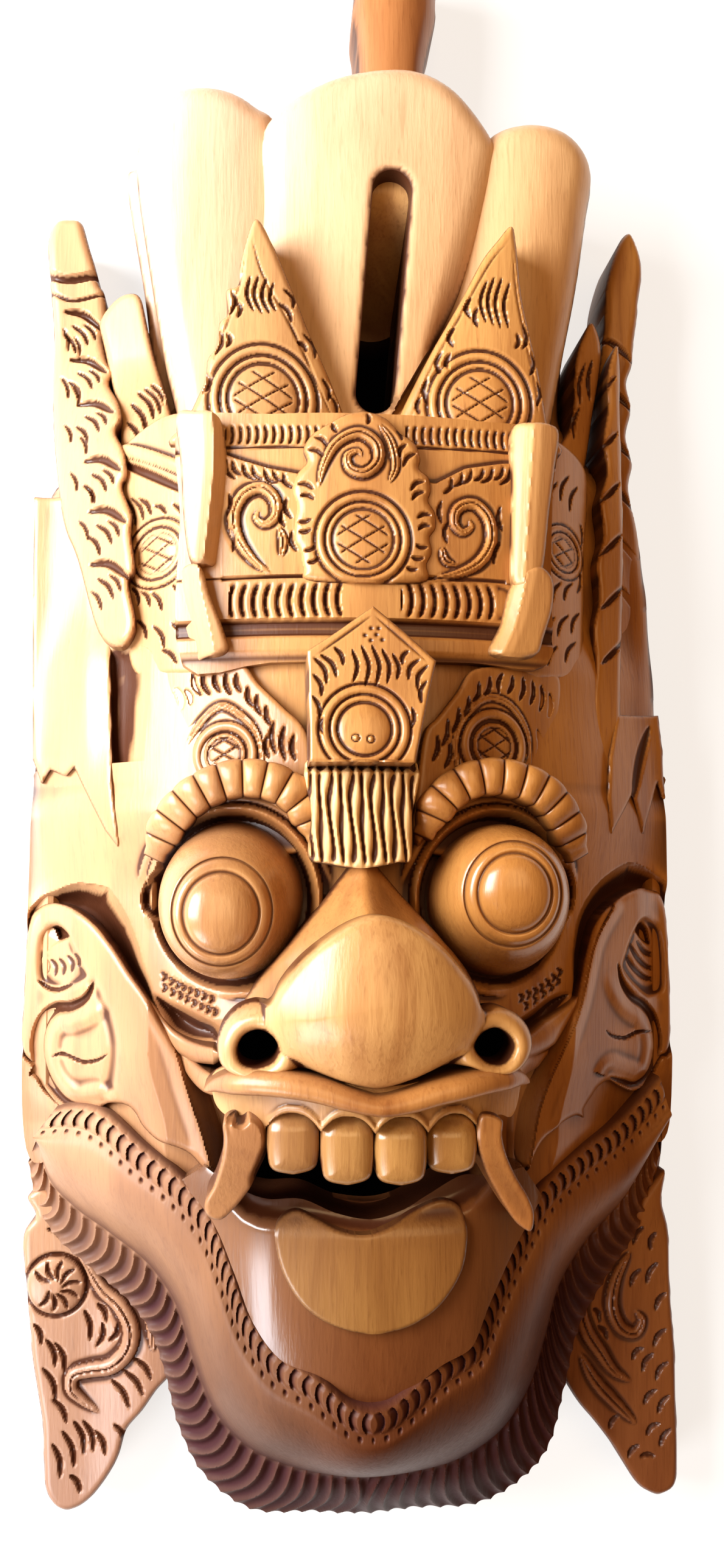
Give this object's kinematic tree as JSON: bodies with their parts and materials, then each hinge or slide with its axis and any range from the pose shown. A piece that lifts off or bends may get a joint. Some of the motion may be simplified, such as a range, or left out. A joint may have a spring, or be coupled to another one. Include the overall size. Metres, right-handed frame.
{
  "type": "carved wooden mask",
  "caption": "Carved wooden wall mask of a fanged lion-like guardian with a tall leaf crown, bulging round eyes and rope borders, hollowed from behind.",
  "frame": {"origin": "middle of the mask's back plane, lying on its back", "axes": "+X to the viewer's right of the face, +Y from chin to crown, +Z out of the face"},
  "size_m": [0.2168, 0.5458, 0.1282],
  "materials": {
    "wood": "satin wax over pale hand-carved wood"
  },
  "bodies": {
    "root": {"mask": "wood"}
  },
  "joints": []
}
